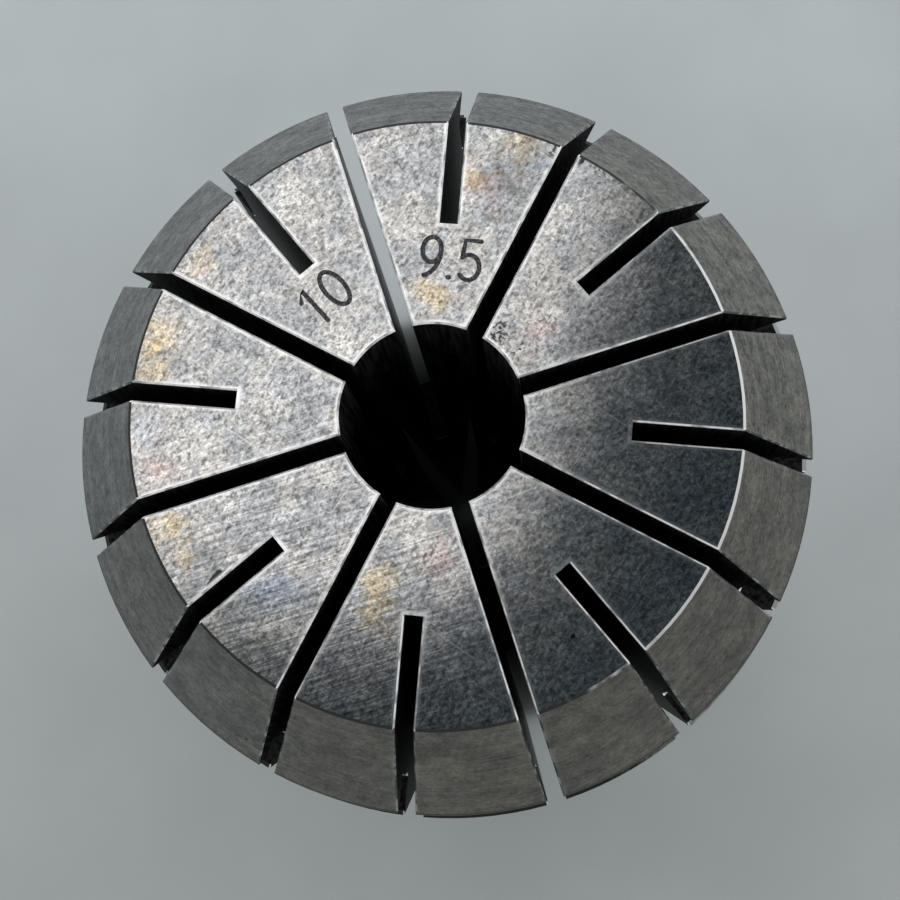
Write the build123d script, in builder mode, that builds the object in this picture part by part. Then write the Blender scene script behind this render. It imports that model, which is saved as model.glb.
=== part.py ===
from build123d import *
import math
import os

# A size 40 ER spring collet for a 3/8 inch shank: one ground and slit piece of spring steel.
# The rear face lies on the XY plane, the axis is +Z, and the marked front face is on top.

# ---------------------------------------------------------------- driving dimensions (mm, degrees)
# Turned body
overall_length = 46.0       # rear face to front face
seat_diameter = 41.0        # largest diameter, at the large end of the seat
rim_diameter = 40.1         # foot of the nose cone, a little inside the seat's large end
bore_diameter = 9.525       # 3/8 inch shank
nose_height = 7.6           # front face down to the rim
nose_half_angle = 30.0      # cone that the clamping nut presses on
rim_land = 0.3              # short cylinder left between the nose cone and the groove
groove_width = 4.8          # extraction groove, caught by the nut's eccentric ring
groove_depth = 2.4          # groove floor below the seat's large end
seat_half_angle = 8.0       # cone that seats in the tool holder

# Broken edges
bore_mouth_break = 0.1      # front end of the bore
bore_rear_chamfer = 0.5     # rear end of the bore
rear_edge_chamfer = 0.5     # small end of the seat
seat_edge_chamfer = 0.3     # large end of the seat, beside the groove
nose_edge_break = 0.1       # front face to nose cone
rim_edge_break = 0.08       # both edges of the rim
groove_fillet = 0.3         # both corners of the groove floor
slit_edge_break = 0.1       # both lips of every slit

# Slits, cut from both ends in turn
slits_per_end = 8
slit_width = 0.92
front_web_reach = 10.1      # radius at which the slits from the rear break out of the front face
rear_web_reach = 10.6       # radius at which the slits from the front break out of the rear face
saw_radius = 40.0
run_out = 5.0               # how far the cuts run past the steel

# ---------------------------------------------------------------- sizes that follow from them
seat_radius = seat_diameter / 2
rim_radius = rim_diameter / 2
bore_radius = bore_diameter / 2
face_radius = rim_radius - nose_height * math.tan(math.radians(nose_half_angle))
groove_radius = seat_radius - groove_depth
nose_bottom = overall_length - nose_height
head_bottom = nose_bottom - rim_land
seat_top = head_bottom - groove_width
seat_slope = math.tan(math.radians(seat_half_angle))
rear_radius = seat_radius - seat_top * seat_slope
slit_pitch = 360 / slits_per_end
first_slit = 90.0           # a slit from the front lies on +Y

cut_radius = seat_radius + run_out


# ---------------------------------------------------------------- saw
def saw_rise(radius):
    """How far the saw's rim has curved away along the axis at this radius. It just reaches the axis."""
    return math.sqrt(saw_radius**2 - (saw_radius - radius) ** 2)


def kerf(start_height, stop_height, web_reach):
    """Steel taken by the saw, which comes in from the side and runs from one end face to the other.

    Its arc leaves a web standing round the bore at the face where it stops, thickest at the bore
    and nothing at web_reach.
    """
    onward = math.copysign(1, stop_height - start_height)
    start = start_height - onward * run_out
    on_axis = stop_height - onward * saw_rise(web_reach)
    outside = on_axis + onward * saw_rise(cut_radius)
    with BuildPart() as cut:
        with BuildSketch(Plane.XZ):
            with BuildLine():
                Polyline((0, on_axis), (0, start), (cut_radius, start), (cut_radius, outside))
                RadiusArc((0, on_axis), (cut_radius, outside), onward * saw_radius)
            make_face()
        extrude(amount=slit_width / 2, both=True)
    return cut.part


# ---------------------------------------------------------------- lips of a slit
def lip_bar(start, end):
    """A square bar on edge along a straight stretch of a slit's mouth, which bevels both lips."""
    with BuildPart() as bar:
        with BuildLine() as mouth:
            Line(start, end)
        with BuildSketch(Plane(origin=mouth.line @ 0, x_dir=(0, 1, 0), z_dir=mouth.line % 0)):
            Rectangle(bar_side, bar_side, rotation=45)
        sweep()
    return bar.part


def past(start, end, distance):
    """The point that lies distance beyond end on the line from start."""
    start, end = Vector(*start), Vector(*end)
    return end + (end - start).normalized() * distance


# The bar's diagonal spans the slit and a bevel on each side of it.
bar_side = (slit_width + 2 * slit_edge_break) / math.sqrt(2)
lip_run_out = slit_width
axis_at_face = (0, 0, overall_length)
axis_at_rear = (0, 0, 0)
front_web_end = (front_web_reach, 0, overall_length)
rear_web_end = (rear_web_reach, 0, 0)
face_edge = (face_radius, 0, overall_length)
rim = (rim_radius, 0, nose_bottom)
seat_large_end = (seat_radius, 0, seat_top)
seat_small_end = (rear_radius, 0, 0)

nose_lips = lip_bar(face_edge, past(face_edge, rim, lip_run_out))
seat_lips = lip_bar(seat_large_end, past(seat_large_end, seat_small_end, lip_run_out))

# ---------------------------------------------------------------- slit from the front
with BuildPart() as front_slit:
    add(kerf(overall_length, 0, rear_web_reach))
    add(lip_bar(axis_at_face, face_edge))
    add(nose_lips)
    add(seat_lips)
    add(lip_bar(rear_web_end, seat_small_end))

# ---------------------------------------------------------------- slit from the rear
with BuildPart() as rear_slit:
    add(kerf(0, overall_length, front_web_reach))
    add(lip_bar(front_web_end, face_edge))
    add(nose_lips)
    add(seat_lips)
    add(lip_bar(axis_at_rear, seat_small_end))

# ---------------------------------------------------------------- collet
with BuildPart() as collet_body:
    # Turned and bored blank, from its half section (radius, height)
    with BuildSketch(Plane.XZ) as half_section:
        with BuildLine():
            Polyline(
                (bore_radius, 0),
                (rear_radius, 0),
                (seat_radius, seat_top),
                (groove_radius, seat_top),
                (groove_radius, head_bottom),
                (rim_radius, head_bottom),
                (rim_radius, nose_bottom),
                (face_radius, overall_length),
                (bore_radius, overall_length),
                close=True,
            )
        make_face()
        for radius, height, size in (
            (bore_radius, overall_length, bore_mouth_break),
            (face_radius, overall_length, nose_edge_break),
            (rim_radius, nose_bottom, rim_edge_break),
            (rim_radius, head_bottom, rim_edge_break),
            (seat_radius, seat_top, seat_edge_chamfer),
            (rear_radius, 0, rear_edge_chamfer),
            (bore_radius, 0, bore_rear_chamfer),
        ):
            chamfer(half_section.vertices().sort_by_distance((radius, height, 0))[0], size)
        for height in (head_bottom, seat_top):
            fillet(half_section.vertices().sort_by_distance((groove_radius, height, 0))[0], groove_fillet)
    revolve(axis=Axis.Z)

    # Slits, from the front and the rear in turn
    with PolarLocations(0, slits_per_end, start_angle=first_slit):
        add(front_slit.part, mode=Mode.SUBTRACT)
    with PolarLocations(0, slits_per_end, start_angle=first_slit + slit_pitch / 2):
        add(rear_slit.part, mode=Mode.SUBTRACT)

collet_body.part.label = "collet_body"

os.makedirs("parts", exist_ok=True)
export_step(collet_body.part, "parts/collet_body.step")
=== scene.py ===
"""A spring collet standing on its small end on a pale bench, seen from just above its slotted nose.

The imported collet_body keeps its shape and gets a ground steel finish that is worked out from where each
point lies: flat face, nose cone, groove, seat, slit walls or bore. Two plain size numbers are marked on it.
"""

import math

import bpy
from mathutils import Matrix, Vector


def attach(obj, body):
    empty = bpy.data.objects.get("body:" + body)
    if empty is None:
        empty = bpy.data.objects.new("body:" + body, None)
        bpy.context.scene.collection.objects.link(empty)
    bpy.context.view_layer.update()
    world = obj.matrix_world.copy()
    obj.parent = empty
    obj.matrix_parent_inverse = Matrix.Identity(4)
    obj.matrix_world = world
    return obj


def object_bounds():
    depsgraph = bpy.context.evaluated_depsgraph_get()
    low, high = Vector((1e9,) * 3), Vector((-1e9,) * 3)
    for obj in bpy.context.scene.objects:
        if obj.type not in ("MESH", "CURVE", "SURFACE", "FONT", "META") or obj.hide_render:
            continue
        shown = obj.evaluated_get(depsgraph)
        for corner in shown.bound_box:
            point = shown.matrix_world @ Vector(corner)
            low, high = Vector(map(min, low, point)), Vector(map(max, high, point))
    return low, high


MM = 0.001  # the frame is in metres, and the sizes below are in millimetres

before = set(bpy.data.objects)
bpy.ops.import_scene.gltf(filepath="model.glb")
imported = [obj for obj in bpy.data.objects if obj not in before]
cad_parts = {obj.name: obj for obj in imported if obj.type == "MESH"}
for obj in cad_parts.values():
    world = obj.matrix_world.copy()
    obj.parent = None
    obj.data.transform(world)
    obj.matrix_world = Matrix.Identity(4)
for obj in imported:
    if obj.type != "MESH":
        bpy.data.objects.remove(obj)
cad_low, cad_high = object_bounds()

# The collet's own sizes
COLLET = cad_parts["collet_body"]
TOP = cad_high.z / MM
FACE_RADIUS = 15.66
RIM_RADIUS = 20.05
RIM_FOOT = 38.1
BORE_RADIUS = 4.76
SLIT_WIDTH = 0.92
FRONT_WEB_REACH = 10.1  # where the short slits of the front face start
REAR_WEB_REACH = 10.6  # and where those of the rear face do
SLITS = 16
SLIT_PITCH = math.tau / SLITS


def axes(turn):
    """Directions along and across a turn in degrees from X."""
    c, s = math.cos(math.radians(turn)), math.sin(math.radians(turn))
    return Vector((c, s, 0)), Vector((-s, c, 0))


PICTURE_RIGHT, PICTURE_UP = axes(-17.0)  # the photograph's own directions on the bench


class Nodes:
    """Adds nodes to one tree. A value is a number, a colour, a vector or another node's socket."""

    def __init__(self, tree):
        self.tree = tree
        tree.nodes.clear()

    def put(self, socket, value):
        if isinstance(value, bpy.types.NodeSocket):
            self.tree.links.new(value, socket)
        else:
            socket.default_value = value

    def new(self, kind, inputs=None, **settings):
        node = self.tree.nodes.new(kind)
        for name, value in settings.items():
            setattr(node, name, value)
        for name, value in (inputs or {}).items():
            self.put(node.inputs[name], value)
        return node

    def calc(self, operation, *values):
        return self.new("ShaderNodeMath", dict(enumerate(values)), operation=operation).outputs[0]

    def product(self, *values):
        total = values[0]
        for value in values[1:]:
            total = self.calc("MULTIPLY", total, value)
        return total

    def sum(self, *values):
        total = values[0]
        for value in values[1:]:
            total = self.calc("ADD", total, value)
        return total

    def weighted(self, values, shares):
        """The values added up, each times its share."""
        return self.sum(*[self.product(value, share) for value, share in zip(values, shares)])

    def invert(self, value):
        return self.calc("SUBTRACT", 1.0, value)

    def vector(self, operation, *values, output=0, scale=None):
        node = self.new("ShaderNodeVectorMath", dict(enumerate(values)), operation=operation)
        if scale is not None:
            self.put(node.inputs["Scale"], scale)
        return node.outputs[output]

    def along(self, vector, direction):
        return self.vector("DOT_PRODUCT", vector, direction, output="Value")

    def distance(self, vector, place):
        return self.vector("DISTANCE", vector, place, output="Value")

    def length(self, x, y):
        return self.vector("LENGTH", self.join(x, y), output="Value")

    def parts(self, vector):
        return self.new("ShaderNodeSeparateXYZ", {0: vector}).outputs

    def join(self, x, y, z=0.0):
        return self.new("ShaderNodeCombineXYZ", {0: x, 1: y, 2: z}).outputs[0]

    def place(self):
        """Where a point of the object lies, in millimetres."""
        return self.vector("SCALE", self.new("ShaderNodeTexCoord").outputs["Object"], scale=1 / MM)

    def step(self, value, low, high, bottom=0.0, top=1.0):
        """Rises smoothly from bottom at low to top at high. Low may be above high."""
        inputs = {"Value": value, "From Min": low, "From Max": high, "To Min": bottom, "To Max": top}
        return self.new("ShaderNodeMapRange", inputs, interpolation_type="SMOOTHSTEP").outputs[0]

    def within(self, value, low, full, still_full, high):
        """Rises from 0 at low to 1 at full, and falls from 1 at still_full to 0 at high."""
        return self.product(self.step(value, low, full), self.step(value, high, still_full))

    def ramp(self, value, low, high):
        """Rises straight from 0 at low to 1 at high."""
        return self.new("ShaderNodeMapRange", {"Value": value, "From Min": low, "From Max": high}).outputs[0]

    def number(self, factor, low, high):
        """Goes from low to high with factor."""
        return self.new("ShaderNodeMapRange", {"Value": factor, "To Min": low, "To Max": high}).outputs[0]

    def colour(self, factor, low, high, blend="MIX"):
        """Goes from low to high with factor, or with another blend from low to low blended with high."""
        node = self.new("ShaderNodeMix", data_type="RGBA", blend_type=blend)
        for name, value in (("Factor_Float", factor), ("A_Color", low), ("B_Color", high)):
            socket = next(s for s in node.inputs if s.identifier == name)
            self.put(socket, value)
        return next(s for s in node.outputs if s.identifier == "Result_Color")

    def scale_colour(self, colour, factor):
        """The colour times a number."""
        return self.vector("SCALE", colour, scale=factor)

    def noise(self, vector, scale=1.0, detail=2.0, roughness=0.5, distortion=0.0):
        """A noise with this many waves to the millimetre, for a vector in millimetres."""
        inputs = {"Vector": vector, "Scale": scale, "Detail": detail}
        inputs.update({"Roughness": roughness, "Distortion": distortion})
        return self.new("ShaderNodeTexNoise", inputs).outputs["Fac"]

    def bump(self, height, depth, normal=None):
        """Bends the normal as a relief that is depth millimetres high would."""
        inputs = {"Height": height, "Strength": 1.0, "Distance": depth * MM}
        if normal is not None:
            inputs["Normal"] = normal
        return self.new("ShaderNodeBump", inputs).outputs[0]

    def finish(self, **inputs):
        """One shiny surface from sockets or values, with underscores for the spaces in their names."""
        shader = self.new("ShaderNodeBsdfPrincipled")
        for name, value in inputs.items():
            self.put(shader.inputs[name.replace("_", " ")], value)
        self.new("ShaderNodeOutputMaterial", {"Surface": shader.outputs[0]})


BLUE_SWING = 1.6  # how much more a warm grey loses in blue than it gains in red


def grey(level, warmth=0.0):
    """A nearly neutral steel colour. Warmth above 0 leans to straw and below 0 to blue."""
    return (level * (1 + warmth), level, level * (1 - BLUE_SWING * warmth), 1.0)


# Spans of a noise's values, across which an effect goes from its least to its most
NOISE_MEAN = 0.5
NARROW_SPAN = (0.40, 0.60)
MIDDLE_SPAN = (0.35, 0.65)
WIDE_SPAN = (0.3, 0.7)

# ---------------------------------------------------------------------------------------------------------
# Regions of the collet

# The upward part of a surface's normal. Of four, a mask rises between the first two and falls between the
# last two.
LEVEL_UPNESS = (0.93, 0.97)
FACE_LIP_UPNESS = (0.55, 0.65, 0.92, 0.95)
CONE_UPNESS = (0.42, 0.47, 0.53, 0.58)
CONE_LIP_UPNESS = (0.25, 0.3, 0.38, 0.42)

# Millimetres from an edge or a surface: where a region starts to show, and where it is full
UNDER_TOP = (0.4, 0.2)
INSIDE_FACE_EDGE = (0.16, 0.1)
BESIDE_SLIT = (0.08, 0.12)
INSIDE_RIM = (0.12, 0.07)
RIM_FADE = 0.1
ROUND_BORE = (0.12, 0.06)
UNDER_BORE_MOUTH = (0.09, 0.13)
OUTSIDE_SLIT = (0.02, 0.005)


class Regions:
    """Where a point of the collet lies, as sockets: millimetres, and masks from 0 to 1."""

    def __init__(self, n):
        self.place = n.place()
        self.x, self.y, self.height = n.parts(self.place)
        self.radius = n.length(self.x, self.y)
        self.outward = n.join(n.calc("DIVIDE", self.x, self.radius), n.calc("DIVIDE", self.y, self.radius))
        upness = n.parts(n.new("ShaderNodeTexCoord").outputs["Normal"])[2]

        # Distance from the wall of the nearest slit, and from the inner end of a short one
        turn = n.calc("DIVIDE", n.calc("ARCTAN2", self.y, self.x), SLIT_PITCH)
        nearest = n.calc("ROUND", turn)
        off = n.product(n.calc("ABSOLUTE", n.calc("SUBTRACT", turn, nearest)), SLIT_PITCH)
        side = n.calc("SUBTRACT", n.product(self.radius, n.calc("SINE", off)), SLIT_WIDTH / 2)
        odd = n.calc("PINGPONG", nearest, 1.0)
        in_front = n.calc("GREATER_THAN", self.height, TOP / 2)
        short = n.invert(n.calc("ABSOLUTE", n.calc("SUBTRACT", odd, in_front)))
        start = n.number(in_front, REAR_WEB_REACH, FRONT_WEB_REACH)
        before = n.product(short, n.calc("SUBTRACT", start, self.radius))
        self.from_slit = n.calc("MAXIMUM", side, before)

        # Front face and groove ledge
        level = n.step(n.calc("ABSOLUTE", upness), *LEVEL_UPNESS)
        looks_up = n.step(upness, *LEVEL_UPNESS)
        self.face = n.product(looks_up, n.step(self.height, *[TOP - depth for depth in UNDER_TOP]))
        self.ledge = n.product(looks_up, n.invert(self.face))

        # Broken edges of the face, then the nose cone, its lips along the slits, and the rim
        bevel = n.within(upness, *FACE_LIP_UPNESS)
        outer = n.step(self.radius, *[FACE_RADIUS - depth for depth in INSIDE_FACE_EDGE])
        self.nose_break = n.product(bevel, outer, n.step(self.from_slit, *BESIDE_SLIT))
        self.lip = n.calc("SUBTRACT", bevel, self.nose_break)
        self.cone = n.within(upness, *CONE_UPNESS)
        self.cone_lip = n.within(upness, *CONE_LIP_UPNESS)
        above_rim = n.step(self.height, RIM_FOOT - RIM_FADE, RIM_FOOT)
        self.rim = n.product(n.step(self.radius, *[RIM_RADIUS - depth for depth in INSIDE_RIM]), above_rim)

        # Bore and slit walls
        in_bore = n.step(self.radius, *[BORE_RADIUS + depth for depth in ROUND_BORE])
        under_mouth = n.step(self.height, *[TOP - depth for depth in UNDER_BORE_MOUTH])
        self.bore = n.product(n.invert(level), in_bore, under_mouth)
        self.wall = n.product(n.invert(level), n.invert(in_bore), n.step(side, *OUTSIDE_SLIT))


# ---------------------------------------------------------------------------------------------------------
# Front face, ground

GRAIN_TURN = 40.0  # of the brushed lines, from X
BRUSHED_SCALES = (1.6, 6.0)  # waves to the millimetre along the lines and across them
GRAIN_SHARES = (0.5, 0.2, 0.3)  # short crooked marks, fine specks and brushed lines
GRAIN_SPAN = (0.37, 0.63)
FACE_COLOURS = (grey(0.17), grey(0.76))
CLOUD_LEVELS = (0.84, 1.14)
STAIN_LEVELS = (0.86, 1.10)
TINGES = ((0.98, 1.0, 1.03, 1.0), (1.03, 1.0, 0.96, 1.0))

# Grinding lines
GRINDING_TURN = 0.0
GRINDING_SCALES = (0.3, 6.5)
GRINDING_CENTRE = (-9.0, -9.0, TOP)  # where the wheel's lines show most
GRINDING_REACH = (15.0, 3.0)  # how far off they are at their least, and how near at their most
GRINDING_STRENGTHS = (0.25, 1.0)
GRINDING_LEVELS = (-0.38, 0.30)

# Patches where the grain splits the light into colours or is polished bright or dull: x, y, reach, tint
STRAW = (1.36, 1.15, 0.80, 1.0)
ROSE = (1.24, 1.03, 1.00, 1.0)
ICE = (0.92, 1.01, 1.16, 1.0)
BRIGHT = (1.30, 1.30, 1.28, 1.0)
DULL = (0.66, 0.67, 0.68, 1.0)
FACE_PATCHES = (
    (7.8, 10.8, 4.4, DULL),
    (-13.1, -3.5, 1.6, DULL),
    (9.9, 7.95, 2.2, BRIGHT),
    (-3.2, 5.0, 1.8, BRIGHT),
    (-7.4, 8.8, 1.9, BRIGHT),
    (-3.9, 13.3, 1.8, BRIGHT),
    (-11.6, 2.9, 2.0, BRIGHT),
    (-7.3, 3.7, 2.2, BRIGHT),
    (-11.1, -1.3, 1.8, BRIGHT),
    (8.9, 12.0, 1.7, STRAW),
    (9.3, 10.9, 1.3, ICE),
    (6.3, 10.4, 1.6, ROSE),
    (5.8, 11.4, 1.3, STRAW),
    (1.9, 6.2, 1.5, STRAW),
    (6.6, 2.4, 1.5, ROSE),
    (-9.3, 11.5, 1.3, STRAW),
    (-12.2, 8.2, 1.7, STRAW),
    (-13.1, 6.8, 1.5, STRAW),
    (-14.3, 3.7, 1.3, ICE),
    (-14.2, 1.6, 1.2, ROSE),
    (-14.4, -1.4, 1.3, STRAW),
    (-14.2, -2.9, 1.2, STRAW),
    (-10.2, -5.9, 1.9, ICE),
    (-5.2, -7.4, 1.7, STRAW),
    (-6.0, -8.7, 1.3, STRAW),
    (-6.5, -7.4, 1.2, ICE),
    (-1.8, -7.1, 1.5, ROSE),
)
PATCH_RAGGEDNESS = 3  # how far a patch's outline wanders, in parts of its reach
PATCH_GRAIN_SPAN = (0.36, 0.58)
PATCH_STRENGTHS = (0.3, 1.0)

# Families of fine straight scratches: turn from X, seed
SCRATCHES = ((38.0, 3.0), (-52.0, 7.0), (4.0, 11.0))
SCRATCH_SCALES = (0.22, 5.5)
SCRATCH_SPAN = (0.69, 0.74)
SCRATCH_STRENGTH = 0.4
SCRATCH_COLOUR = grey(0.85)

# Nicks, all darker than the steel round them: x, y, half length, half width, turn from X
NICKS = (
    (11.4, 10.5, 0.45, 0.30, 40.0),
    (-12.95, -4.6, 0.80, 0.20, 33.5),
    (3.3, -12.6, 0.14, 0.12, 0.0),
    (-0.6, -12.3, 0.12, 0.10, 0.0),
)
NICK_EDGE = (1.0, 0.7)
NICK_COLOUR = grey(0.05)

# Pitted patches: x, y, reach
PITTED = (
    (4.5, 3.1, 0.9),
    (5.2, 1.9, 0.5),
    (-13.9, -0.4, 0.5),
    (10.6, 11.1, 0.9),
)
PITTED_CORE = 0.4  # part of the reach in which a patch is fully pitted
PIT_SPAN = (0.50, 0.44)
PIT_COLOUR = grey(0.06)

# Bright wear along the slits and the bore
WEAR_REACH = (0.30, 0.10)
WEAR_SPAN = (0.35, 0.55)
WEAR_STRENGTHS = (0.35, 1.0)
WEAR_STRENGTH = 0.85
WEAR_COLOUR = grey(0.95)


def drawn_out(n, at, turn, scales, layer=0.0):
    """A place whose noise is drawn out along one turn from X. Each layer has a noise of its own."""
    along, across = [n.product(n.along(at.place, axis), scale) for axis, scale in zip(axes(turn), scales)]
    return n.join(along, across, layer)


def tint_patches(n, at, colour, stain, fine):
    for x, y, reach, tint in FACE_PATCHES:
        gap = n.distance(at.place, (x, y, TOP))
        ragged = n.sum(gap, n.product(n.sum(stain, -NOISE_MEAN), reach * PATCH_RAGGEDNESS))
        amount = n.product(n.step(ragged, reach, 0.0), n.step(fine, *PATCH_GRAIN_SPAN, *PATCH_STRENGTHS))
        colour = n.colour(amount, colour, tint, blend="MULTIPLY")
    return colour


def scratch_face(n, at, colour):
    for turn, seed in SCRATCHES:
        field = n.noise(drawn_out(n, at, turn, SCRATCH_SCALES, layer=seed), detail=1.0)
        scratch = n.product(n.step(field, *SCRATCH_SPAN), SCRATCH_STRENGTH)
        colour = n.colour(scratch, colour, SCRATCH_COLOUR)
    return colour


def nick_face(n, at, colour, worms):
    for x, y, half_length, half_width, turn in NICKS:
        along, across = axes(turn)
        offset = n.vector("SUBTRACT", at.place, (x, y, TOP))
        gap = n.length(n.along(offset, along / half_length), n.along(offset, across / half_width))
        colour = n.colour(n.step(n.sum(gap, worms, -NOISE_MEAN), *NICK_EDGE), colour, NICK_COLOUR)
    return colour


def pit_face(n, at, colour, worms):
    for x, y, reach in PITTED:
        gap = n.distance(at.place, (x, y, TOP))
        amount = n.product(n.step(gap, reach, reach * PITTED_CORE), n.step(worms, *PIT_SPAN))
        colour = n.colour(amount, colour, PIT_COLOUR)
    return colour


def wear_face(n, at, colour):
    edge = n.calc("MINIMUM", at.from_slit, n.calc("SUBTRACT", at.radius, BORE_RADIUS))
    uneven = n.step(n.noise(at.place, scale=1.6, detail=3.0), *WEAR_SPAN, *WEAR_STRENGTHS)
    worn = n.product(n.step(edge, *WEAR_REACH), uneven)
    return n.colour(n.product(worn, WEAR_STRENGTH), colour, WEAR_COLOUR)


def face_finish(n, at):
    """Colour, grain and grinding lines of the front face."""
    worms = n.noise(at.place, scale=4.2, distortion=0.7)
    fine = n.noise(at.place, scale=8.0, detail=1.0)
    brushed = n.noise(drawn_out(n, at, GRAIN_TURN, BRUSHED_SCALES))
    grain = n.weighted((worms, fine, brushed), GRAIN_SHARES)
    cloud = n.noise(at.place, scale=0.45, detail=4.0, roughness=0.6)
    stain = n.noise(at.place, scale=0.8, detail=5.0, roughness=0.7)
    lines = n.noise(drawn_out(n, at, GRINDING_TURN, GRINDING_SCALES), detail=3.0, roughness=0.6)
    ground = n.step(n.distance(at.place, GRINDING_CENTRE), *GRINDING_REACH, *GRINDING_STRENGTHS)

    colour = n.colour(n.ramp(grain, *GRAIN_SPAN), *FACE_COLOURS)
    colour = n.scale_colour(colour, n.step(cloud, *MIDDLE_SPAN, *CLOUD_LEVELS))
    colour = n.scale_colour(colour, n.step(stain, *MIDDLE_SPAN, *STAIN_LEVELS))
    tinge = n.colour(n.step(cloud, *NARROW_SPAN), *TINGES)
    colour = n.colour(1.0, colour, tinge, blend="MULTIPLY")
    streak = n.step(lines, *MIDDLE_SPAN, *GRINDING_LEVELS)
    colour = n.scale_colour(colour, n.sum(n.product(streak, ground), 1.0))
    colour = tint_patches(n, at, colour, stain, fine)
    colour = scratch_face(n, at, colour)
    colour = nick_face(n, at, colour, worms)
    colour = pit_face(n, at, colour, worms)
    colour = wear_face(n, at, colour)
    return colour, grain, n.product(lines, ground)


# ---------------------------------------------------------------------------------------------------------
# Surfaces turned and ground round the axis

TURNED_COLOURS = (grey(0.42), grey(0.58, -0.01))
LATHE_ROUND = 2.5  # waves of the turning lines round the axis, and along it to the millimetre
LATHE_ALONG = 8.0
BLOTCH_LEVELS = (0.80, 1.18)

# Satin nose cone, more mottled toward the picture's top and browner on one side
SATIN_COLOUR = grey(0.178, 0.01)[:3]
SATIN_SHARES = (0.8, 0.6, 0.7)  # mottle, turning lines and speckle
SATIN_STRENGTHS = (1.8, 4.2)
WARM_SIDE = Vector((0.77, -0.64, 0))
WARM_SPAN = (-0.6, 0.5)
WARM_STRENGTHS = (0.5, 1.0)
WARM_TINT = (1.06, 1.0, 0.88, 1.0)
CONE_PIT = (-14.5, -12.4, 40.0)
CONE_PIT_REACH = 0.13
CONE_PIT_CORE = 0.6
CONE_PIT_COLOUR = grey(0.02)

# Wear along the slits
TURNED_WEAR_REACH = (0.3, 0.1)
TURNED_WEAR_STRENGTH = 0.3
TURNED_WEAR_COLOUR = grey(0.45)


def satin_colour(n, at, lines):
    mottle = n.noise(at.place, scale=1.3, detail=5.0, roughness=0.7)
    speckle = n.noise(at.place, scale=5.0, roughness=0.6)
    texture = n.sum(n.weighted((mottle, lines, speckle), SATIN_SHARES), -sum(SATIN_SHARES) * NOISE_MEAN)
    strength = n.step(n.along(at.outward, PICTURE_UP), -1.0, 1.0, *SATIN_STRENGTHS)
    return n.scale_colour(SATIN_COLOUR, n.sum(1.0, n.product(texture, strength)))


def turned_finish(n, at):
    """Colour and turning lines of the surfaces round the axis."""
    round_axis = n.vector("SCALE", at.outward, scale=LATHE_ROUND)
    lathe = n.vector("ADD", round_axis, n.join(0.0, 0.0, n.product(at.height, LATHE_ALONG)))
    lines = n.noise(lathe, detail=3.0, roughness=0.65)
    blotch = n.noise(at.place, scale=0.55, detail=4.0, roughness=0.6)

    colour = n.colour(n.step(lines, *WIDE_SPAN), *TURNED_COLOURS)
    colour = n.colour(at.cone, colour, satin_colour(n, at, lines))
    warm = n.product(at.cone, n.step(n.along(at.outward, WARM_SIDE), *WARM_SPAN))
    warm = n.product(warm, n.step(blotch, *MIDDLE_SPAN, *WARM_STRENGTHS))
    colour = n.colour(warm, colour, WARM_TINT, blend="MULTIPLY")
    colour = n.scale_colour(colour, n.step(blotch, *WIDE_SPAN, *BLOTCH_LEVELS))
    pit = n.step(n.distance(at.place, CONE_PIT), CONE_PIT_REACH, CONE_PIT_REACH * CONE_PIT_CORE)
    colour = n.colour(pit, colour, CONE_PIT_COLOUR)
    worn = n.product(n.step(at.from_slit, *TURNED_WEAR_REACH), n.step(blotch, *NARROW_SPAN))
    colour = n.colour(n.product(worn, TURNED_WEAR_STRENGTH), colour, TURNED_WEAR_COLOUR)
    return colour, lines


# ---------------------------------------------------------------------------------------------------------
# Whole collet

# Broken edges, dull where they are chipped and bright where they aren't. The nose break is painted lit on
# one side and painted shaded on the others, and the rim is painted dark as shade.
LIP_CHIP_SPAN = (0.38, 0.55)
LIP_COLOURS = (grey(0.4), grey(0.95))
CONE_LIP_CHIP_SPAN = (0.45, 0.62)
CONE_LIP_COLOURS = (grey(0.10), grey(0.50))
PAINTED_LIT_SIDE = Vector((0.91, -0.42, 0))  # the side of the nose break that is painted lit; the break is painted shaded away from it
PAINTED_LIT_SPAN = (0.8, 1.1)
PAINTED_LIT_CHIPPING = 0.5
NOSE_BREAK_SHADED_AND_LIT_COLOURS = (grey(0.03), grey(0.45))
# The rim land and its top break are painted dark: painted shade.
RIM_SHADE_COLOUR = grey(0.07)

# The slits, the bore and the groove ledge get an oil film that mirrors only what glances along it, and a
# near-black colour that is partly painted shade for these deep, overhung places.
OIL_AND_SHADE_COLOURS = (grey(0.003), grey(0.018))
OIL_STREAK_SCALES = (4.0, 4.0, 0.25)
OIL_IOR = 1.006
OIL_ROUGHNESS = 0.15
STEEL_IOR = 1.5

FACE_ROUGHNESS = 0.115
TURNED_ROUGHNESS = 0.36
GRAIN_ROUGHNESS = (-0.006, 0.006)
RELIEF_DEPTH = 0.001
GRAIN_RELIEF = 0.35  # in parts of the relief's depth
TURNED_RELIEF = 0.7
GRINDING_DEPTH = 0.0012


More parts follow.
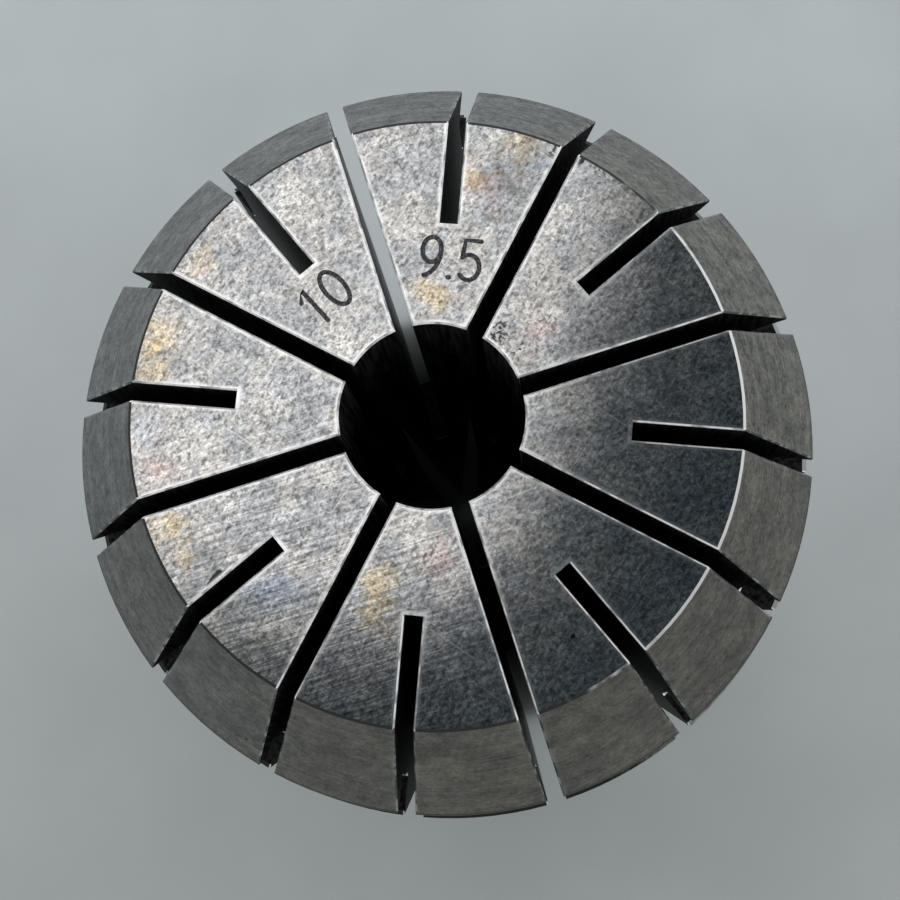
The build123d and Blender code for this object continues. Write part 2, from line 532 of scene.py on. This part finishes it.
def break_edges(n, at, colour):
    chip = n.noise(at.place, scale=1.3, detail=3.0)
    colour = n.colour(at.lip, colour, n.colour(n.step(chip, *LIP_CHIP_SPAN), *LIP_COLOURS))
    colour = n.colour(at.cone_lip, colour, n.colour(n.step(chip, *CONE_LIP_CHIP_SPAN), *CONE_LIP_COLOURS))
    # The nose break gets a painted highlight on one side and painted shade on the others.
    toward_painted_light = n.sum(n.along(at.outward, PAINTED_LIT_SIDE), n.product(chip, PAINTED_LIT_CHIPPING))
    painted_lit = n.step(toward_painted_light, *PAINTED_LIT_SPAN)
    colour = n.colour(at.nose_break, colour, n.colour(painted_lit, *NOSE_BREAK_SHADED_AND_LIT_COLOURS))
    # Painted shade on the rim.
    return n.colour(at.rim, colour, RIM_SHADE_COLOUR)


def oil_and_shade_colour(n, at):
    """Nearly black, partly the oil film's own colour and partly painted shade, and streaked along the saw's
    way.
    """
    drawn = [n.product(part, scale) for part, scale in zip((at.x, at.y, at.height), OIL_STREAK_SCALES)]
    return n.colour(n.step(n.noise(n.join(*drawn)), *WIDE_SPAN), *OIL_AND_SHADE_COLOURS)


def finish_steel(material):
    """Ground and turned tool steel, by region. Slit walls, bore and groove ledge are dark with oil and
    painted shade.
    """
    material.use_nodes = True
    n = Nodes(material.node_tree)
    at = Regions(n)
    face_colour, grain, wheel_lines = face_finish(n, at)
    turned_colour, turned_lines = turned_finish(n, at)
    # Painted shade, with the oil film, in the slits, the bore and on the groove ledge under the head.
    oil_and_shade = n.calc("MAXIMUM", n.calc("MAXIMUM", at.wall, at.bore), at.ledge)
    outside_oil_and_shade = n.invert(oil_and_shade)

    colour = n.colour(at.face, turned_colour, face_colour)
    colour = break_edges(n, at, colour)
    # The near-black oil colour here is partly painted shade.
    colour = n.colour(oil_and_shade, colour, oil_and_shade_colour(n, at))

    rough = n.number(at.face, TURNED_ROUGHNESS, FACE_ROUGHNESS)
    rough = n.sum(rough, n.number(grain, *GRAIN_ROUGHNESS))
    rough = n.sum(n.product(rough, outside_oil_and_shade), n.product(oil_and_shade, OIL_ROUGHNESS))

    face_relief = n.product(grain, at.face, GRAIN_RELIEF)
    turned_relief = n.product(turned_lines, n.invert(at.face), TURNED_RELIEF)
    normal = n.bump(n.sum(face_relief, turned_relief), RELIEF_DEPTH)
    normal = n.bump(n.product(wheel_lines, at.face), GRINDING_DEPTH, normal)
    bend = n.number(oil_and_shade, STEEL_IOR, OIL_IOR)
    n.finish(Base_Color=colour, Roughness=rough, Metallic=outside_oil_and_shade, IOR=bend, Normal=normal)


for slot in COLLET.material_slots:
    finish_steel(slot.material)

# ---------------------------------------------------------------------------------------------------------
# Size numbers, marked on the face along the ring with their tops outward

MARK_HEIGHT = 2.1
MARK_WIDTH = 1.05
MARK_GAP = 0.45
STROKE = 0.25
MARK_PROUD = 0.004
MARK_DEPTH = 0.01
MARK_LAYER = 0.001  # each stroke of a figure lies this much under the one before, where they cross
CAP_STEPS = (0.5, 0.85, 0.98)  # how far along its round end a stroke narrows, as parts of half its width
CLOSED_GAP = 0.0025  # a stroke whose ends lie nearer than this is a ring
BURN_SPAN = (0.4, 0.75)
BURN_COLOURS = ((0.012, 0.013, 0.015, 1.0), (0.10, 0.105, 0.11, 1.0))
BURN_ROUGHNESS = (0.5, 0.7)
BURN_DEPTH = 0.003
BURN_SHINE = 0.15

# Text, and the turn in degrees and the radius at which its middle lies
BORE_NUMBER = ("9.5", 65.5, 8.25)
RANGE_NUMBER = ("10", 114.5, 8.35)


def arc(centre, reach, start, end, steps=20):
    """Points along an ellipse's arc, in parts of the figure's width and height."""
    turns = [math.radians(start + (end - start) * i / steps) for i in range(steps + 1)]
    return [(centre[0] + reach[0] * math.cos(t), centre[1] + reach[1] * math.sin(t)) for t in turns]


# Each figure's strokes in a box 1 wide and 1 high
FIGURES = {
    "0": [arc((0.5, 0.5), (0.5, 0.5), 90, 450, 32)],
    "1": [[(0.2, 0.76), (0.62, 1.0), (0.62, 0.0)]],
    "5": [[(0.92, 1.0), (0.16, 1.0), (0.08, 0.56)], arc((0.44, 0.32), (0.52, 0.32), 128, -140)],
    "9": [arc((0.5, 0.68), (0.46, 0.32), 0, 360, 28), arc((0.06, 0.66), (0.90, 0.66), 0, -78)],
    ".": [[(0.0, 0.02), (0.06, 0.02)]],
}
FIGURE_WIDTHS = {".": 0.1}


def stroke_stations(points):
    """Centre, sideways direction and half width along a stroke with round ends."""
    line = [Vector(p) for p in points]
    closed = (line[0] - line[-1]).length < CLOSED_GAP
    stations = []
    for i, point in enumerate(line):
        before = line[i - 1] if i else (line[-2] if closed else point)
        after = line[i + 1] if i + 1 < len(line) else (line[1] if closed else point)
        ahead = (after - before).normalized()
        stations.append((point, Vector((-ahead.y, ahead.x)), STROKE / 2))
    if closed:
        return stations
    for end, outward in ((0, -1), (-1, 1)):
        point, side, half = stations[end]
        ahead = Vector((side.y, -side.x)) * outward
        caps = [(point + ahead * half * t, side, half * math.sqrt(1 - t * t)) for t in CAP_STEPS]
        stations = stations + caps if outward > 0 else caps[::-1] + stations
    return stations


def add_stroke(points, top, place, vertices, faces):
    """A thin ribbon along the points. place turns a flat point into a point of the frame."""
    first = len(vertices)
    stations = stroke_stations(points)
    for centre, side, half in stations:
        for height in (top, TOP - MARK_DEPTH):
            for sign in (-1, 1):
                vertices.append(place(centre + side * half * sign, height))
    for i in range(len(stations) - 1):
        here, there = first + 4 * i, first + 4 * (i + 1)
        faces.append((here, there, there + 1, here + 1))
        faces.append((here + 2, there + 2, there, here))
        faces.append((here + 1, there + 1, there + 3, here + 3))
        faces.append((here + 3, there + 3, there + 2, here + 2))


def finish_mark(material):
    """Burnt dark strokes, a little uneven."""
    material.use_nodes = True
    n = Nodes(material.node_tree)
    burn = n.noise(n.place(), scale=7.0, detail=3.0, roughness=0.6)
    colour = n.colour(n.step(burn, *BURN_SPAN), *BURN_COLOURS)
    rough = n.number(burn, *BURN_ROUGHNESS)
    normal = n.bump(burn, BURN_DEPTH)
    n.finish(Base_Color=colour, Roughness=rough, Specular_IOR_Level=BURN_SHINE, Normal=normal)


def mark_number(name, number, material):
    """Writes plain figures with their middle at a turn and radius of the face."""
    text, turn, radius = number
    outward, leftward = [direction.to_2d() for direction in axes(turn)]
    widths = [FIGURE_WIDTHS.get(figure, 1.0) * MARK_WIDTH for figure in text]
    start = -(sum(widths) + MARK_GAP * (len(text) - 1)) / 2

    def place(point, height):
        flat = outward * (radius + point.y) - leftward * point.x
        return Vector((flat.x, flat.y, height)) * MM

    vertices, faces = [], []
    for figure, width in zip(text, widths):
        for layer, stroke in enumerate(FIGURES[figure]):
            points = [(start + x * MARK_WIDTH, (y - 0.5) * MARK_HEIGHT) for x, y in stroke]
            add_stroke(points, TOP + MARK_PROUD - MARK_LAYER * layer, place, vertices, faces)
        start += width + MARK_GAP
    mesh = bpy.data.meshes.new(name)
    mesh.from_pydata(vertices, [], faces)
    mesh.materials.append(material)
    piece = bpy.data.objects.new(name, mesh)
    bpy.context.scene.collection.objects.link(piece)
    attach(piece, "root")


mark_steel = bpy.data.materials.new("marked_steel")
finish_mark(mark_steel)
mark_number("bore_number", BORE_NUMBER, mark_steel)
mark_number("range_number", RANGE_NUMBER, mark_steel)

# ---------------------------------------------------------------------------------------------------------
# Bench, with painted light fall-off that darkens it toward the picture's foot, and painted shade where the
# collet stands

FLOOR_REACH = 600.0
PAINTED_FALLOFF_REACH = 90.0  # how far from the collet its painted light fall-off goes on, either way
# The bench's colour, painted shaded toward the picture's foot and painted lit toward its top
FLOOR_SHADED_AND_LIT_COLOURS = ((0.265, 0.287, 0.283, 1.0), (0.382, 0.418, 0.430, 1.0))
FLOOR_CLOUD_LEVELS = (0.96, 1.04)
FLOOR_ROUGHNESS = 0.6
FLOOR_SHINE = 0.2
UNDER_COLLET_SHADE_REACH = (10.0, 15.0)  # painted shade under the collet, from the axis: fully dark up to the first, and none past the second
UNDER_COLLET_SHADE_LEVELS = (0.15, 1.0)


def finish_floor(material):
    material.use_nodes = True
    n = Nodes(material.node_tree)
    place = n.place()
    # Painted light fall-off: the bench is painted darker toward the picture's foot.
    painted_falloff = n.step(n.along(place, PICTURE_UP), -PAINTED_FALLOFF_REACH, PAINTED_FALLOFF_REACH)
    cloud = n.noise(place, scale=0.06, detail=3.0)
    colour = n.colour(painted_falloff, *FLOOR_SHADED_AND_LIT_COLOURS)
    colour = n.scale_colour(colour, n.step(cloud, *WIDE_SPAN, *FLOOR_CLOUD_LEVELS))
    # Painted shade on the bench under the collet's foot.
    under_collet_shade = n.step(n.distance(place, (0, 0, 0)), *UNDER_COLLET_SHADE_REACH, *UNDER_COLLET_SHADE_LEVELS)
    colour = n.scale_colour(colour, under_collet_shade)
    n.finish(Base_Color=colour, Roughness=FLOOR_ROUGHNESS, Specular_IOR_Level=FLOOR_SHINE)


def make_floor():
    side = FLOOR_REACH * MM
    corners = [(-side, -side, 0), (side, -side, 0), (side, side, 0), (-side, side, 0)]
    mesh = bpy.data.meshes.new("bench")
    mesh.from_pydata(corners, [], [(0, 1, 2, 3)])
    material = bpy.data.materials.new("pale_bench")
    finish_floor(material)
    mesh.materials.append(material)
    floor = bpy.data.objects.new("bench", mesh)
    bpy.context.scene.collection.objects.link(floor)


make_floor()

# ---------------------------------------------------------------------------------------------------------
# Light: a plain sky with a dark place overhead, where whoever took the photograph leaned over the bench.
# Slopes are sideways over up, from straight up, along the picture's right and up.

OVERHEAD_LEVEL = 1.12  # the patch of sky that the face mirrors
OVERHEAD_REACH = 0.6  # slope at which that patch has faded out
OVERHEAD_CORE = 0.7  # part of its reach in which it is full
SKY_LEVEL = 1.35
NEAR_LEVEL = 0.7  # part of the sky level behind whoever took the photograph
FAR_LEVEL = 1.5  # and opposite, so that the collet's soft shadow falls toward the picture's foot
SIDE_SPAN = (-0.8, 0.8)
LOW_SKY_RISE = 0.4  # the sine of the height above which the sky has its full level
LOW_SKY_LEVEL = 0.35
LEAST_RISE = 0.02  # keeps the slopes finite at the horizon
SHADE_RIGHT = 0.031  # the shade lies right of this slope
SHADE_RIGHT_LEAN = 0.25  # how far right that line goes for each unit up
SHADE_RIGHT_MIDDLE = 0.2  # the slope up at which it stands at SHADE_RIGHT
SHADE_UP = 0.010  # and below this one
SHADE_UP_LEAN = 0.19  # how far down that line goes for each unit right
SHADE_CORNER = 0.088  # how round the corner between the two is
SHADE_SOFTNESS = 0.015
SHADE_COLOUR = (0.042, 0.058, 0.068, 1.0)
SEEN_SKY_COLOUR = (0.45, 0.48, 0.49, 1.0)  # what a camera sees past the bench


def photographer_shade(n, right_slope, up_slope):
    """Full right of one leaning line or below another, and none left of and above both of them."""
    left_of = n.sum(
        SHADE_RIGHT - SHADE_RIGHT_LEAN * SHADE_RIGHT_MIDDLE,
        n.product(up_slope, SHADE_RIGHT_LEAN),
        n.product(right_slope, -1.0),
    )
    above = n.sum(up_slope, n.product(right_slope, SHADE_UP_LEAN), -SHADE_UP)
    apart = n.length(n.calc("SUBTRACT", left_of, above), SHADE_CORNER)
    inside = n.product(n.calc("SUBTRACT", n.sum(left_of, above), apart), 0.5)
    return n.step(inside, SHADE_SOFTNESS, -SHADE_SOFTNESS)


def light_scene():
    world = bpy.data.worlds.new("studio")
    bpy.context.scene.world = world
    world.use_nodes = True
    n = Nodes(world.node_tree)
    direction = n.new("ShaderNodeTexCoord").outputs["Generated"]
    rise = n.parts(direction)[2]
    up = n.calc("MAXIMUM", rise, LEAST_RISE)
    right_slope = n.calc("DIVIDE", n.along(direction, PICTURE_RIGHT), up)
    up_slope = n.calc("DIVIDE", n.along(direction, PICTURE_UP), up)
    overhead = n.step(n.length(right_slope, up_slope), OVERHEAD_REACH, OVERHEAD_REACH * OVERHEAD_CORE)
    side_levels = (NEAR_LEVEL * SKY_LEVEL, FAR_LEVEL * SKY_LEVEL)
    side = n.step(n.along(direction, PICTURE_UP), *SIDE_SPAN, *side_levels)
    side = n.product(side, n.step(rise, 0.0, LOW_SKY_RISE, LOW_SKY_LEVEL, 1.0))
    colour = n.colour(overhead, n.join(side, side, side), grey(OVERHEAD_LEVEL))
    shade = n.product(photographer_shade(n, right_slope, up_slope), overhead)
    colour = n.colour(shade, colour, SHADE_COLOUR)
    seen = n.new("ShaderNodeLightPath").outputs["Is Camera Ray"]
    colour = n.colour(seen, colour, SEEN_SKY_COLOUR)
    background = n.new("ShaderNodeBackground", {"Color": colour, "Strength": 1.0})
    n.new("ShaderNodeOutputWorld", {"Surface": background.outputs[0]})


light_scene()

# ---------------------------------------------------------------------------------------------------------
# Camera

CAMERA_PLACE = Vector((0.60, -15.718, 135.727))
CAMERA_AIM = Vector((-2.588, 6.327, 46.0))
CAMERA_UP_TURN = 73.089
SENSOR = 36.0
LENS = 71.545
# The collet stands right of and below the lens's axis in the picture, so the frame is shifted, as a crop is.
FRAME_SHIFT = (0.1145, -0.1499)


def make_camera():
    data = bpy.data.cameras.new("camera")
    data.sensor_width = SENSOR
    data.lens = LENS
    data.shift_x, data.shift_y = FRAME_SHIFT
    data.clip_start = MM
    camera = bpy.data.objects.new("camera", data)
    bpy.context.scene.collection.objects.link(camera)
    backward = (CAMERA_PLACE - CAMERA_AIM).normalized()
    up_hint, _ = axes(CAMERA_UP_TURN)
    right = up_hint.cross(backward).normalized()
    turn = Matrix((right, backward.cross(right), backward)).transposed()
    camera.matrix_world = Matrix.Translation(CAMERA_PLACE * MM) @ turn.to_4x4()
    bpy.context.scene.camera = camera


make_camera()
bpy.context.scene.view_settings.view_transform = "Standard"
